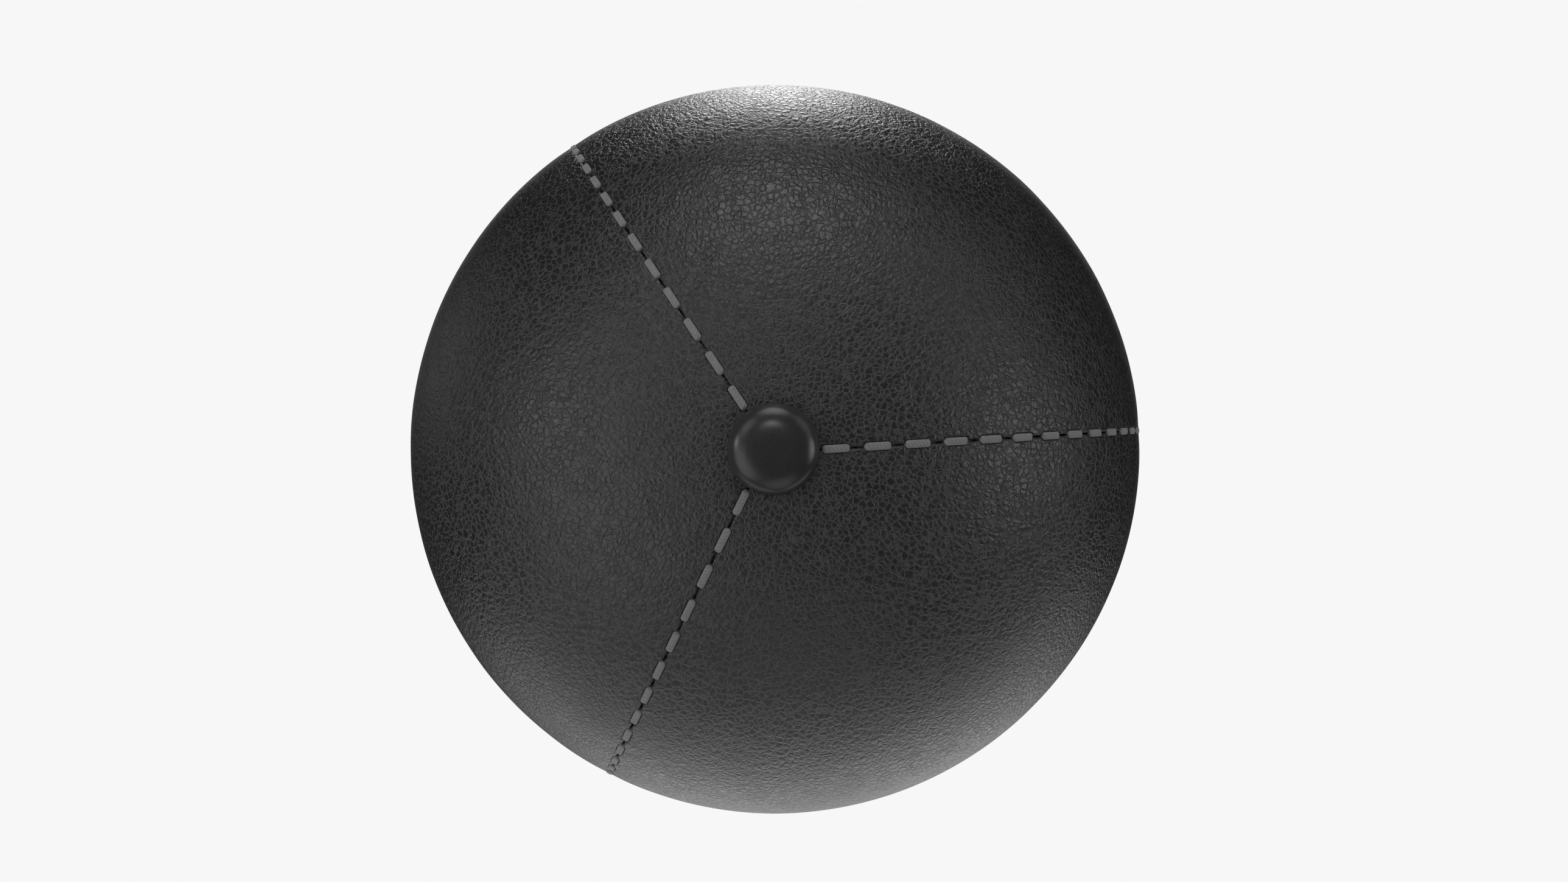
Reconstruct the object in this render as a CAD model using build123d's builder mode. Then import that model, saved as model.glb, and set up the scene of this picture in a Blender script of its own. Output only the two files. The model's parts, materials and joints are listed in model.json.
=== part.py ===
"""Leather medicine ball, 240 mm across, sewn from three lune panels.

The ball's centre is the origin and +Z is up. Its poles lie on the Y axis: the
front pole, at -Y, and the rear pole, at +Y, each carry a domed cap. Three seams
run from pole to pole, about 120 degrees apart. Seam angles are measured about
the polar axis, from +X towards +Z. Millimetres throughout.
"""

from build123d import *
from math import asin, cos, degrees, radians, sin, sqrt, tan
import os

# ---- driving dimensions -------------------------------------------------------
BALL_RADIUS = 120.0
LEATHER = 2.2                 # cover leather
LINING = 0.8                  # canvas behind each panel
TAPE = 1.0                    # webbing that backs each seam
TAPE_WIDTH = 16.0
FELT = 2.1                    # wadding layer between the seams and the bag
BAG_CLOTH = 0.6
BALLAST_RADIUS = 46.0         # outside of the sand bag
BALLAST_CLOTH = 1.0

SEAM_ANGLES = (2.9, 123.8, 242.9)    # degrees
SEAM_GAP = 0.45               # open groove between two butted panels

STITCH_COUNT = 32             # visible stitches along one seam
FIRST_STITCH = 7.70           # polar angle of the first stitch's middle, degrees
STITCH_LENGTH = 7.4
THREAD_WIDTH = 2.1
THREAD_THICKNESS = 1.0

CAP_RADIUS = 11.9
CAP_CROWN_RADIUS = 29.3
CAP_SHOULDER_RADIUS = 3.6
CAP_WALL = 1.2
STUD_RADIUS = 2.5
STUD_PLATE_RADIUS = 9.2
STUD_PLATE = 1.5
STUD_HEAD_RADIUS = 3.6
BACKING_RADIUS = 11.6         # leather disc inside the pole
WASHER_RADIUS = 10.0
BURR_RADIUS = 6.0
FELT_HOLE_RADIUS = 8.0        # room in the felt for the burr

PLY_GAP = 0.05                # between layers that lie on each other
THREAD_PLAY = 0.05            # around the thread in its holes
HOLE_PLAY = 0.15              # around the stud in the soft layers
METAL_PLAY = 0.03             # around the stud in the metal washers

# ---- radii of the layers, from the outside in ----------------------------------
lining_outer = BALL_RADIUS - LEATHER - PLY_GAP
lining_inner = lining_outer - LINING
tape_outer = lining_inner - PLY_GAP
tape_inner = tape_outer - TAPE
thread_outer = BALL_RADIUS + 0.1
thread_inner = tape_inner - PLY_GAP - THREAD_THICKNESS
felt_outer = thread_inner - PLY_GAP
felt_inner = felt_outer - FELT
bag_outer = felt_inner - PLY_GAP
bag_inner = bag_outer - BAG_CLOTH
stuffing_outer = bag_inner - PLY_GAP
cavity_radius = BALLAST_RADIUS + 0.3
sand_radius = BALLAST_RADIUS - BALLAST_CLOTH - PLY_GAP

# ---- stitching ------------------------------------------------------------------
stitch_half = degrees(STITCH_LENGTH / 2 / BALL_RADIUS)
leg_angle = degrees(THREAD_THICKNESS / BALL_RADIUS)
stitch_pitch = (180 - 2 * FIRST_STITCH) / (STITCH_COUNT - 1)
stitch_angles = [FIRST_STITCH + k * stitch_pitch for k in range(STITCH_COUNT)]

# ---- cap and stud ---------------------------------------------------------------
cap_base = sqrt(BALL_RADIUS**2 - (CAP_RADIUS - CAP_WALL) ** 2) + METAL_PLAY
shoulder_centre = CAP_RADIUS - CAP_SHOULDER_RADIUS
crown_half = degrees(asin(shoulder_centre / (CAP_CROWN_RADIUS - CAP_SHOULDER_RADIUS)))
crown_centre = -shoulder_centre / tan(radians(crown_half))
plate_base = BALL_RADIUS + 0.1
backing_inner = tape_inner
washer_outer = backing_inner - PLY_GAP
washer_inner = washer_outer - 1.0
burr_outer = washer_inner - PLY_GAP
burr_inner = burr_outer - 1.0
head_outer = burr_inner - 2 * PLY_GAP
head_inner = head_outer - 0.8

# ---- ballast neck, along +Y -------------------------------------------------------
NECK_RADIUS = 6.0
NECK_LIP_RADIUS = 9.0
NECK_LENGTH = 13.0
TIE_RADIUS = 1.2
neck_root = BALLAST_RADIUS - BALLAST_CLOTH / 2
neck_top = BALLAST_RADIUS + NECK_LENGTH
tie_height = BALLAST_RADIUS + 5.0

# ---- panels -----------------------------------------------------------------------
next_seams = [(k + 1) % len(SEAM_ANGLES) for k in range(len(SEAM_ANGLES))]
panel_arcs = [(SEAM_ANGLES[after] - SEAM_ANGLES[k]) % 360 for k, after in enumerate(next_seams)]

ENDS = (("front", -1), ("rear", 1))
ABOUT_POLES = Axis((0, 0, 0), (0, -1, 0))    # turns +X towards +Z
BIG = 2 * BALL_RADIUS

os.makedirs("parts", exist_ok=True)


def keep(part, label):
    """Names a finished piece and writes its STEP."""
    part.label = label
    export_step(part, f"parts/{label}.step")


def meridian(angle):
    """The plane of a seam: local x points out along the seam's angle, local y is +Y."""
    a = radians(angle)
    return Plane(origin=(0, 0, 0), x_dir=(cos(a), 0, sin(a)), z_dir=(-sin(a), 0, cos(a)))


def half_ring(outer, inner, clear):
    """The half of a ring with local x past clear: a shell's section, open at the poles."""
    Circle(outer)
    Circle(inner, mode=Mode.SUBTRACT)
    with Locations((clear + BIG / 2, 0)):
        Rectangle(BIG, 2 * BIG, mode=Mode.INTERSECT)


def half_shell(side, outer, inner, hole):
    """The front or rear half of a hollow sphere's section, with a hole at the pole."""
    Circle(outer)
    Circle(inner, mode=Mode.SUBTRACT)
    with Locations((hole + BIG / 2, side * (BIG + PLY_GAP) / 2)):
        Rectangle(BIG, BIG, mode=Mode.INTERSECT)


def arc_band(outer, inner, middle, half):
    """A short length of ring about a polar angle, which is measured from the front pole."""
    start = middle - half - 90
    with BuildLine() as outline:
        far = CenterArc((0, 0), outer, start, 2 * half)
        near = CenterArc((0, 0), inner, start, 2 * half)
        Line(far @ 0, near @ 0)
        Line(far @ 1, near @ 1)
    make_face(outline.edges())


def pole_section(side, points):
    """A closed outline beside the polar axis, from (radius, distance from centre) points."""
    with BuildLine() as outline:
        Polyline([(r, side * s) for r, s in points], close=True)
    make_face(outline.edges())


def dished_disc(side, outer, inner, hole, rim):
    """A disc's section that follows the ball: two spheres, cut at its hole and its rim."""
    Circle(outer)
    Circle(inner, mode=Mode.SUBTRACT)
    with Locations(((hole + rim) / 2, side * BALL_RADIUS)):
        Rectangle(rim - hole, BALL_RADIUS, mode=Mode.INTERSECT)


def dome_arcs(inset):
    """The dome's shoulder and crown, which meet smoothly, set in by a wall thickness."""
    shoulder = CenterArc((shoulder_centre, 0), CAP_SHOULDER_RADIUS - inset, 0, 90 - crown_half)
    crown = CenterArc((0, crown_centre), CAP_CROWN_RADIUS - inset, 90 - crown_half, crown_half)
    return shoulder, crown


# ---- running stitch, drawn once in a meridian plane --------------------------------
with BuildSketch(Plane.XY) as stitch_line:
    for k, middle in enumerate(stitch_angles):
        arc_band(thread_outer, thread_outer - THREAD_THICKNESS, middle, stitch_half)
        for side in (-1, 1):
            leg = middle + side * (stitch_half - leg_angle / 2)
            arc_band(thread_outer - THREAD_THICKNESS / 2, thread_inner, leg, leg_angle / 2)
        if k + 1 < STITCH_COUNT:
            between = middle + stitch_pitch / 2
            inner_half = stitch_pitch / 2 - stitch_half + leg_angle
            arc_band(thread_inner + THREAD_THICKNESS, thread_inner, between, inner_half)

with BuildSketch(Plane.XY) as stitch_room:
    add(stitch_line.sketch)
    offset(amount=THREAD_PLAY, kind=Kind.INTERSECTION)

seam_cutters = []
for angle in SEAM_ANGLES:
    with BuildPart() as cutter:
        with BuildSketch(meridian(angle)):
            add(stitch_room.sketch)
        extrude(amount=THREAD_WIDTH / 2 + THREAD_PLAY, both=True)
        with BuildSketch(meridian(angle)):
            half_ring(BALL_RADIUS + 1, tape_outer, 0)
        extrude(amount=SEAM_GAP / 2, both=True)
    seam_cutters.append(cutter.part)

# ---- cover, lining, tape and thread ---------------------------------------------------
for k, angle in enumerate(SEAM_ANGLES):
    sides = (seam_cutters[k], seam_cutters[next_seams[k]])
    with BuildPart() as panel:
        with BuildSketch(meridian(angle)):
            half_ring(BALL_RADIUS, BALL_RADIUS - LEATHER, STUD_RADIUS + HOLE_PLAY)
        revolve(axis=ABOUT_POLES, revolution_arc=panel_arcs[k])
        for seam in sides:
            add(seam, mode=Mode.SUBTRACT)
    keep(panel.part, f"cover_panel_{k + 1}")

    with BuildPart() as lining:
        with BuildSketch(meridian(angle)):
            half_ring(lining_outer, lining_inner, STUD_RADIUS + HOLE_PLAY)
        revolve(axis=ABOUT_POLES, revolution_arc=panel_arcs[k])
        for seam in sides:
            add(seam, mode=Mode.SUBTRACT)
    keep(lining.part, f"panel_lining_{k + 1}")

for k, angle in enumerate(SEAM_ANGLES):
    wedge = 2 * degrees(asin(TAPE_WIDTH / BACKING_RADIUS / 2))
    with BuildPart() as tape:
        with BuildSketch(meridian(angle - wedge / 2)):
            half_ring(tape_outer, tape_inner, BACKING_RADIUS + HOLE_PLAY)
        revolve(axis=ABOUT_POLES, revolution_arc=wedge)
        with BuildSketch(meridian(angle)):
            half_ring(BIG, 1, 0)
        extrude(amount=TAPE_WIDTH / 2, both=True, mode=Mode.INTERSECT)
        add(seam_cutters[k], mode=Mode.SUBTRACT)
    keep(tape.part, f"seam_tape_{k + 1}")

    with BuildPart() as thread:
        with BuildSketch(meridian(angle)):
            add(stitch_line.sketch)
        extrude(amount=THREAD_WIDTH / 2, both=True)
    keep(thread.part, f"seam_thread_{k + 1}")

# ---- soft layers and ballast, in front and rear halves ------------------------------------
for name, side in ENDS:
    with BuildPart() as felt:
        with BuildSketch(Plane.XY):
            half_shell(side, felt_outer, felt_inner, FELT_HOLE_RADIUS)
        revolve(axis=Axis.Y)
    keep(felt.part, f"felt_layer_{name}")

    with BuildPart() as bag:
        with BuildSketch(Plane.XY):
            half_shell(side, bag_outer, bag_inner, 0)
        revolve(axis=Axis.Y)
    keep(bag.part, f"inner_bag_{name}")

    with BuildPart() as stuffing:
        with BuildSketch(Plane.XY):
            half_shell(side, stuffing_outer, cavity_radius, 0)
            if side > 0:
                with Locations((0, cavity_radius)):
                    Rectangle(2 * NECK_LIP_RADIUS + 2, 2 * NECK_LENGTH + 2, mode=Mode.SUBTRACT)
        revolve(axis=Axis.Y)
    keep(stuffing.part, f"stuffing_{name}")

    with BuildPart() as ballast_bag:
        with BuildSketch(Plane.XY):
            half_shell(side, BALLAST_RADIUS, BALLAST_RADIUS - BALLAST_CLOTH, 0)
            if side > 0:
                pole_section(
                    side,
                    [
                        (0, neck_root),
                        (NECK_RADIUS, sqrt(neck_root**2 - NECK_RADIUS**2)),
                        (NECK_RADIUS - TIE_RADIUS, tie_height),
                        (NECK_LIP_RADIUS, neck_top),
                        (0, neck_top),
                    ],
                )
        revolve(axis=Axis.Y)
    keep(ballast_bag.part, f"ballast_bag_{name}")

with BuildPart() as sand:
    Sphere(sand_radius)
keep(sand.part, "ballast_sand")

with BuildPart() as tie:
    with BuildSketch(Plane.XY):
        with Locations((NECK_RADIUS + TIE_RADIUS, tie_height)):
            Circle(TIE_RADIUS)
    revolve(axis=Axis.Y)
keep(tie.part, "ballast_tie")

# ---- pole caps and what clamps them ------------------------------------------------------
for name, side in ENDS:
    with BuildPart() as dome:
        with BuildSketch(Plane(origin=(0, side * cap_base, 0), x_dir=(1, 0, 0), z_dir=(0, 0, side))):
            with BuildLine():
                outer_shoulder, outer_crown = dome_arcs(0)
                inner_shoulder, inner_crown = dome_arcs(CAP_WALL)
                Line(outer_shoulder @ 0, inner_shoulder @ 0)
                Line(outer_crown @ 1, inner_crown @ 1)
            make_face()
        revolve(axis=Axis.Y)
    keep(dome.part, f"{name}_cap_dome")

    with BuildPart() as stud:
        with BuildSketch(Plane.XY):
            pole_section(
                side,
                [
                    (0, plate_base + STUD_PLATE),
                    (STUD_PLATE_RADIUS, plate_base + STUD_PLATE),
                    (STUD_PLATE_RADIUS, plate_base),
                    (STUD_RADIUS, plate_base),
                    (STUD_RADIUS, head_outer),
                    (STUD_HEAD_RADIUS, head_outer),
                    (STUD_RADIUS, head_inner),
                    (0, head_inner),
                ],
            )
        revolve(axis=Axis.Y)
    keep(stud.part, f"{name}_cap_stud")

    with BuildPart() as backing:
        with BuildSketch(Plane.XY):
            dished_disc(side, tape_outer, backing_inner, STUD_RADIUS + HOLE_PLAY, BACKING_RADIUS)
        revolve(axis=Axis.Y)
    keep(backing.part, f"{name}_backing_disc")

    with BuildPart() as washer:
        with BuildSketch(Plane.XY):
            dished_disc(side, washer_outer, washer_inner, STUD_RADIUS + METAL_PLAY, WASHER_RADIUS)
        revolve(axis=Axis.Y)
    keep(washer.part, f"{name}_clamp_washer")

    with BuildPart() as burr:
        with BuildSketch(Plane.XY):
            dished_disc(side, burr_outer, burr_inner, STUD_RADIUS + METAL_PLAY, BURR_RADIUS)
        revolve(axis=Axis.Y)
    keep(burr.part, f"{name}_rivet_burr")
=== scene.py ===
"""The looks of the leather medicine ball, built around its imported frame.

Metres, +Z up. The poles lie on the Y axis and the front pole is at -Y. A polar angle
is measured from the front pole, and an azimuth about the poles from +X towards +Z.
"""

import json
from math import cos, pi, radians, sin, sqrt

import bmesh
import bpy
import numpy as np
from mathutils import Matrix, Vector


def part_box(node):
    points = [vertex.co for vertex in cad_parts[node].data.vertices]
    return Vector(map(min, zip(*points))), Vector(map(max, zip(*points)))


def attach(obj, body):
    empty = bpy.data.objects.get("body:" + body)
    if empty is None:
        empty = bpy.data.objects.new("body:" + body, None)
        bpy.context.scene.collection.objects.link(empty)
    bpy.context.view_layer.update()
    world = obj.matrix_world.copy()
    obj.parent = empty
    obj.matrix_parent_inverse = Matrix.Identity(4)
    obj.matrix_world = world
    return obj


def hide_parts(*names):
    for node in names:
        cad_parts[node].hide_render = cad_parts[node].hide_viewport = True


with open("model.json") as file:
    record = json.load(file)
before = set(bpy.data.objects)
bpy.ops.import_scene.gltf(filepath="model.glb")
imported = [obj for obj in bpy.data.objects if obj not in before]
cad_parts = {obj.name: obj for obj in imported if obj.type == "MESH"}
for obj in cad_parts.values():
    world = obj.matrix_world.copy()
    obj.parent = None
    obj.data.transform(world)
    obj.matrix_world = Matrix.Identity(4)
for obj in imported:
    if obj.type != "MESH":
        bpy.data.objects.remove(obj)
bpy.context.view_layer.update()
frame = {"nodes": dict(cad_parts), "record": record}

MM = 0.001
CRADLE = next(m for m in frame["record"]["mounts"] if m["name"] == "cradle")
BALL = -CRADLE["pos_m"][2]
BODY = "root"

# ---- sizes that repeat the frame's ---------------------------------------------------
SEAM_AZIMUTHS = (2.9, 123.8, 242.9)
LEATHER = 2.2 * MM
POLE_HOLE = 2.65 * MM
STITCH_COUNT = 32
FIRST_STITCH = 7.70            # degrees
STITCH_LENGTH = 7.4 * MM
THREAD_WIDTH = 2.1 * MM
THREAD_THICKNESS = 1.0 * MM
THREAD_INNER = 5.15 * MM       # depth of the hidden runs' undersides
CAP_RADIUS = 11.9 * MM

# ---- sizes that only the looks have ---------------------------------------------------
SEAM_DRIFT = (-0.9 * MM, 0.4 * MM, -1.4 * MM)    # how far aside at the front pole
SEAM_GAP = 0.55 * MM           # a little wider than in the frame
CAP_FLATNESS = 2.65            # the sine of the dome's tilt grows with this power of the radius

STITCH_PITCH = (180 - 2 * FIRST_STITCH) / (STITCH_COUNT - 1)
STITCH_ANGLES = FIRST_STITCH + STITCH_PITCH * np.arange(STITCH_COUNT)

# ---- camera and stage -----------------------------------------------------------------
CAMERA_DISTANCE = 4.0 * BALL
CAMERA_RIGHT = 0.017 * BALL
CAMERA_UP = 0.003 * BALL
CAMERA_TURN = 0.1              # degrees to the right
CAMERA_TILT = 0.27             # degrees upwards
CAMERA_LENS = 32.4             # millimetres, on a sensor 36 wide
BACKDROP = 0.93                # linear, shared by the floor and everything behind it
FLOOR_HALF = 40 * BALL


def smoothstep(low, high, value):
    t = np.clip((value - low) / (high - low), 0, 1)
    return t * t * (3 - 2 * t)


def on_ball(polar, azimuth, radius):
    """Points at polar angles and azimuths in radians."""
    return np.stack(
        [
            radius * np.sin(polar) * np.cos(azimuth),
            -radius * np.cos(polar) * np.ones_like(azimuth),
            radius * np.sin(polar) * np.sin(azimuth),
        ],
        axis=-1,
    )


def seam_aside(number, polar):
    """How far a seam stands aside from its own azimuth, more and more towards the front pole."""
    return SEAM_DRIFT[number] * (1 - np.sin(np.minimum(polar, pi / 2))) ** 1.5


def add_mesh(name, points, faces, smooth=True):
    mesh = bpy.data.meshes.new(name)
    mesh.from_pydata([tuple(p) for p in points], [], faces)
    mesh.validate()
    mesh.update()
    mesh.polygons.foreach_set("use_smooth", [smooth] * len(mesh.polygons))
    piece = bpy.data.objects.new(name, mesh)
    bpy.context.scene.collection.objects.link(piece)
    return piece


# ---- material helpers -------------------------------------------------------------------
class Nodes:
    """A short way to write a node tree."""

    def __init__(self, tree):
        self.tree = tree

    def add(self, kind, inputs=None, **settings):
        node = self.tree.nodes.new(kind)
        for key, value in settings.items():
            setattr(node, key, value)
        for key, value in (inputs or {}).items():
            if isinstance(value, bpy.types.NodeSocket):
                self.tree.links.new(value, node.inputs[key])
            else:
                node.inputs[key].default_value = value
        return node

    def math(self, operation, a, b=0.0, c=0.0):
        return self.add("ShaderNodeMath", {0: a, 1: b, 2: c}, operation=operation).outputs[0]

    def vector(self, operation, a, b=(0, 0, 0)):
        node = self.add("ShaderNodeVectorMath", {0: a}, operation=operation)
        socket = node.inputs["Scale"] if operation == "SCALE" else node.inputs[1]
        if isinstance(b, bpy.types.NodeSocket):
            self.tree.links.new(b, socket)
        else:
            socket.default_value = b
        return node.outputs["Value" if operation in ("DOT_PRODUCT", "LENGTH") else "Vector"]

    def ramp(self, value, low, high, to_low=0.0, to_high=1.0):
        """Maps low..high smoothly to to_low..to_high."""
        inputs = {0: value, 1: low, 2: high, 3: to_low, 4: to_high}
        node = self.add("ShaderNodeMapRange", inputs, interpolation_type="SMOOTHSTEP")
        return node.outputs[0]

    def noise(self, vector, scale, detail=3.0, roughness=0.55):
        inputs = {"Vector": vector, "Scale": scale, "Detail": detail, "Roughness": roughness}
        return self.add("ShaderNodeTexNoise", inputs)

    def mix(self, factor, a, b):
        """A colour between two colours."""
        node = self.add("ShaderNodeMix", data_type="RGBA")
        for socket, value in ((node.inputs[0], factor), (node.inputs[6], a), (node.inputs[7], b)):
            if isinstance(value, bpy.types.NodeSocket):
                self.tree.links.new(value, socket)
            else:
                socket.default_value = value
        return node.outputs[2]


def grey(value):
    return (value, value, value, 1.0)


def new_material(name):
    """A material with one Principled shader. Returns the material, its nodes and the shader."""
    material = bpy.data.materials.new(name)
    material.use_nodes = True
    nodes = Nodes(material.node_tree)
    shader = material.node_tree.nodes["Principled BSDF"]
    return material, nodes, shader


def link(nodes, value, socket):
    nodes.tree.links.new(value, socket)


def millimetres(nodes):
    """Object coordinates in millimetres."""
    coords = nodes.add("ShaderNodeTexCoord").outputs["Object"]
    return nodes.vector("SCALE", coords, 1 / MM)


def cell_edges(nodes, coords, cell):
    """Distance in millimetres from the nearest crease of a grain with cells of a given size."""
    inputs = {"Vector": coords, "Scale": 1 / cell, "Randomness": 1.0}
    edge = nodes.add("ShaderNodeTexVoronoi", inputs, feature="DISTANCE_TO_EDGE").outputs["Distance"]
    return nodes.math("MULTIPLY", edge, cell)


def rise(nodes, distance, reach):
    """0 at a crease, rising steeply and then more gently to 1."""
    fall = nodes.math("EXPONENT", nodes.math("MULTIPLY", distance, -1 / reach))
    return nodes.math("SUBTRACT", 1.0, fall)


def gathered(nodes, coords, reach):
    """Coordinates squeezed towards the polar axis, where a panel's grain runs finer.

    Returns the new coordinates and how many times finer the grain is."""
    flat = nodes.vector("MULTIPLY", coords, (1, 0, 1))
    share = nodes.math("DIVIDE", reach, nodes.math("ADD", nodes.vector("LENGTH", flat), 0.01))
    fade = nodes.math("EXPONENT", nodes.math("DIVIDE", -1.0, share))
    finer = nodes.math("MULTIPLY_ADD", nodes.math("SUBTRACT", 1.0, fade), share, 1.0)
    factors = nodes.add("ShaderNodeCombineXYZ", {0: finer, 1: 1.0, 2: finer}).outputs[0]
    return nodes.vector("MULTIPLY", coords, factors), finer


# ---- materials -----------------------------------------------------------------------------
GATHERED_WITHIN = 34.0         # millimetres from the polar axis
LARGE_CELL = 2.5               # millimetres, across a pebble of the grain
SMALL_CELL = 1.2
CREASE_REACH = 0.11            # how soon a crease gives way to its pebble
DOME_REACH = 0.66
DOME_HEIGHT = 0.17
GRAIN_SHIFT = 2.8              # how far the cells are pulled out of shape
# The crease grey is painted light: it is lighter than the pebbles and stands in for light caught on the
# crease slopes.
LEATHER_CREASE_PAINTED_LIGHT = 0.055         # linear greys
LEATHER_DARK = 0.013
LEATHER_WORN = 0.019


def cover_leather():
    material, nodes, shader = new_material("cover_leather")
    coords = millimetres(nodes)
    squeezed, finer = gathered(nodes, coords, GATHERED_WITHIN)
    wander = nodes.noise(squeezed, 0.5, 3.0)
    centred = nodes.vector("SUBTRACT", wander.outputs["Color"], (0.5, 0.5, 0.5))
    bent = nodes.vector("ADD", squeezed, nodes.vector("SCALE", centred, GRAIN_SHIFT))
    large = cell_edges(nodes, bent, LARGE_CELL)
    small = cell_edges(nodes, bent, SMALL_CELL)
    fine = nodes.noise(squeezed, 2.4, 3.0).outputs[0]
    crease = rise(nodes, large, CREASE_REACH)
    openness = nodes.noise(squeezed, 0.35, 2.0).outputs[0]
    height = nodes.math("MULTIPLY", crease, nodes.ramp(openness, 0.35, 0.6, 0.028, 0.08))
    height = nodes.math("MULTIPLY_ADD", rise(nodes, large, DOME_REACH), DOME_HEIGHT, height)
    height = nodes.math("MULTIPLY_ADD", rise(nodes, small, 0.16), 0.03, height)
    height = nodes.math("MULTIPLY_ADD", fine, 0.015, height)
    depth = nodes.ramp(nodes.noise(coords, 0.2, 2.0).outputs[0], 0.35, 0.65, 0.8, 1.15)
    depth = nodes.math("DIVIDE", depth, nodes.math("POWER", finer, 0.35))
    height = nodes.math("MULTIPLY", height, depth)
    bump = nodes.add("ShaderNodeBump", {"Height": height, "Strength": 1.0, "Distance": MM})
    link(nodes, bump.outputs[0], shader.inputs["Normal"])
    tone = nodes.noise(coords, 0.09, 3.0).outputs[0]
    worn = nodes.mix(tone, grey(LEATHER_DARK), grey(LEATHER_WORN))
    # Painted light: the creases get a lighter grey in place of the light their slopes would catch.
    link(nodes, nodes.mix(crease, grey(LEATHER_CREASE_PAINTED_LIGHT), worn), shader.inputs["Base Color"])
    rough = nodes.ramp(crease, 0.0, 1.0, 0.46, 0.33)
    patchy = nodes.math("MULTIPLY_ADD", tone, 0.10, -0.05)
    link(nodes, nodes.math("ADD", rough, patchy), shader.inputs["Roughness"])
    shader.inputs["IOR"].default_value = 1.5
    return material


def waxed_thread():
    material, nodes, shader = new_material("waxed_thread")
    coords = millimetres(nodes)
    fibres = nodes.noise(coords, 5.0, 3.0).outputs[0]
    blotches = nodes.noise(coords, 0.6, 2.0).outputs[0]
    colour = nodes.mix(fibres, grey(0.15), grey(0.25))
    colour = nodes.mix(nodes.ramp(blotches, 0.35, 0.7, 0.0, 0.25), colour, grey(0.13))
    # Painted shade: the grooves between the plies are darkened in the colour.
    groove = nodes.add("ShaderNodeAttribute", attribute_name="ply_groove_painted_shade").outputs["Fac"]
    colour = nodes.mix(nodes.math("MULTIPLY", groove, 0.4), colour, grey(0.07))
    link(nodes, colour, shader.inputs["Base Color"])
    bump = nodes.add("ShaderNodeBump", {"Height": fibres, "Strength": 0.6, "Distance": 0.05 * MM})
    link(nodes, bump.outputs[0], shader.inputs["Normal"])
    shader.inputs["Roughness"].default_value = 0.7
    shader.inputs["Sheen Weight"].default_value = 0.15
    return material


def cap_plastic():
    material, nodes, shader = new_material("cap_plastic")
    coords = millimetres(nodes)
    smudge = nodes.noise(coords, 0.25, 3.0).outputs[0]
    grain = nodes.noise(coords, 14.0, 2.0).outputs[0]
    link(nodes, nodes.mix(smudge, grey(0.029), grey(0.032)), shader.inputs["Base Color"])
    link(nodes, nodes.ramp(smudge, 0.3, 0.7, 0.26, 0.28), shader.inputs["Roughness"])
    bump = nodes.add("ShaderNodeBump", {"Height": grain, "Strength": 0.08, "Distance": 0.01 * MM})
    link(nodes, bump.outputs[0], shader.inputs["Normal"])
    shader.inputs["Specular IOR Level"].default_value = 0.36
    return material


def round_the_ball(nodes, coords):
    """Arc lengths in millimetres: from the front pole, and about the poles from +X."""
    parts = nodes.add("ShaderNodeSeparateXYZ", {0: coords}).outputs
    flat = nodes.vector("LENGTH", nodes.vector("MULTIPLY", coords, (1, 0, 1)))
    polar = nodes.math("ARCTAN2", flat, nodes.math("MULTIPLY", parts[1], -1.0))
    along = nodes.math("MULTIPLY", polar, nodes.vector("LENGTH", coords))
    about = nodes.math("MULTIPLY", nodes.math("ARCTAN2", parts[2], parts[0]), flat)
    return along, about


def woven(name, pitch, dark, light, roughness):
    """A plain weave whose yarns pass over and under each other, with uneven yarn colour."""
    material, nodes, shader = new_material(name)
    coords = millimetres(nodes)
    along, about = round_the_ball(nodes, coords)
    wander = nodes.noise(coords, 0.15, 2.0).outputs[0]
    waves = []
    for arc in (along, about):
        phase = nodes.math("MULTIPLY_ADD", arc, pi / pitch, nodes.math("MULTIPLY", wander, 4.0))
        waves.append(nodes.math("SINE", phase))
    crossing = nodes.math("MULTIPLY", waves[0], waves[1])
    bulge = nodes.math("SQRT", nodes.math("ABSOLUTE", crossing))
    fibres = nodes.noise(coords, 6.0 / pitch, 3.0).outputs[0]
    height = nodes.math("MULTIPLY_ADD", fibres, 0.25, bulge)
    relief = 0.25 * pitch * MM
    bump = nodes.add("ShaderNodeBump", {"Height": height, "Strength": 0.8, "Distance": relief})
    link(nodes, bump.outputs[0], shader.inputs["Normal"])
    fuzz = nodes.math("MULTIPLY", fibres, 0.65)
    yarn = nodes.math("MULTIPLY_ADD", nodes.ramp(crossing, -0.4, 0.4), 0.35, fuzz)
    # Painted shade: the gaps between the yarns are darkened in the colour.
    gap_shade = tuple(0.45 * c for c in dark[:3]) + (1,)
    shaded = nodes.mix(nodes.ramp(bulge, 0.0, 0.5), gap_shade, nodes.mix(yarn, dark, light))
    link(nodes, shaded, shader.inputs["Base Color"])
    rough = nodes.ramp(fibres, 0.3, 0.7, roughness, roughness + 0.1)
    link(nodes, rough, shader.inputs["Roughness"])
    shader.inputs["Sheen Weight"].default_value = 0.2
    return material


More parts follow.
